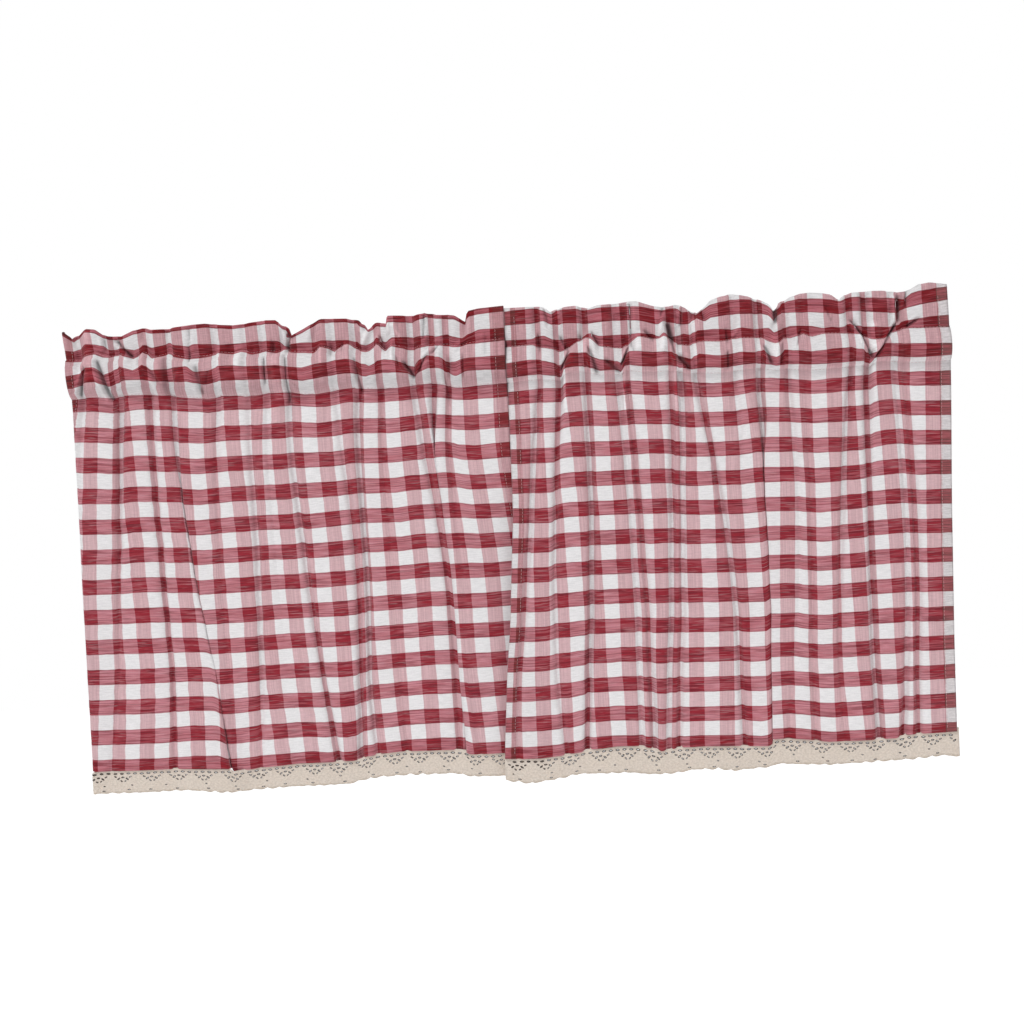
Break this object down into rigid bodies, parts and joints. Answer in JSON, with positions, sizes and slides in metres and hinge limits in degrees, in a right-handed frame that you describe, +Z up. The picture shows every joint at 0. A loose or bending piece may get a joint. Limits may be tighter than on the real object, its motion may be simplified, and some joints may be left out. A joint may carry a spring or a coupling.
{
  "type": "window valance",
  "caption": "Gathered gingham window valance: meeting panels with a ruffled header, an open rod pocket and a lace edging below the hem.",
  "frame": {"origin": "centre of the top edge, on the line that the rod and its brackets hold up", "axes": "+X along the width to the viewer's right, +Z up, and -Y towards the room, so the cloth's face looks along -Y"},
  "size_m": [0.8534, 0.0417, 0.4621],
  "materials": {
    "gingham": "plain-woven cotton in an even wine red and white check, matt and slightly sheer",
    "lace": "beige machine-made cotton lace with a ladder of small holes and a ragged scalloped edge, matt"
  },
  "bodies": {
    "root": {"heading_left": "gingham", "panel_left": "gingham", "lace_left": "lace", "heading_right": "gingham", "panel_right": "gingham", "lace_right": "lace"}
  },
  "joints": []
}
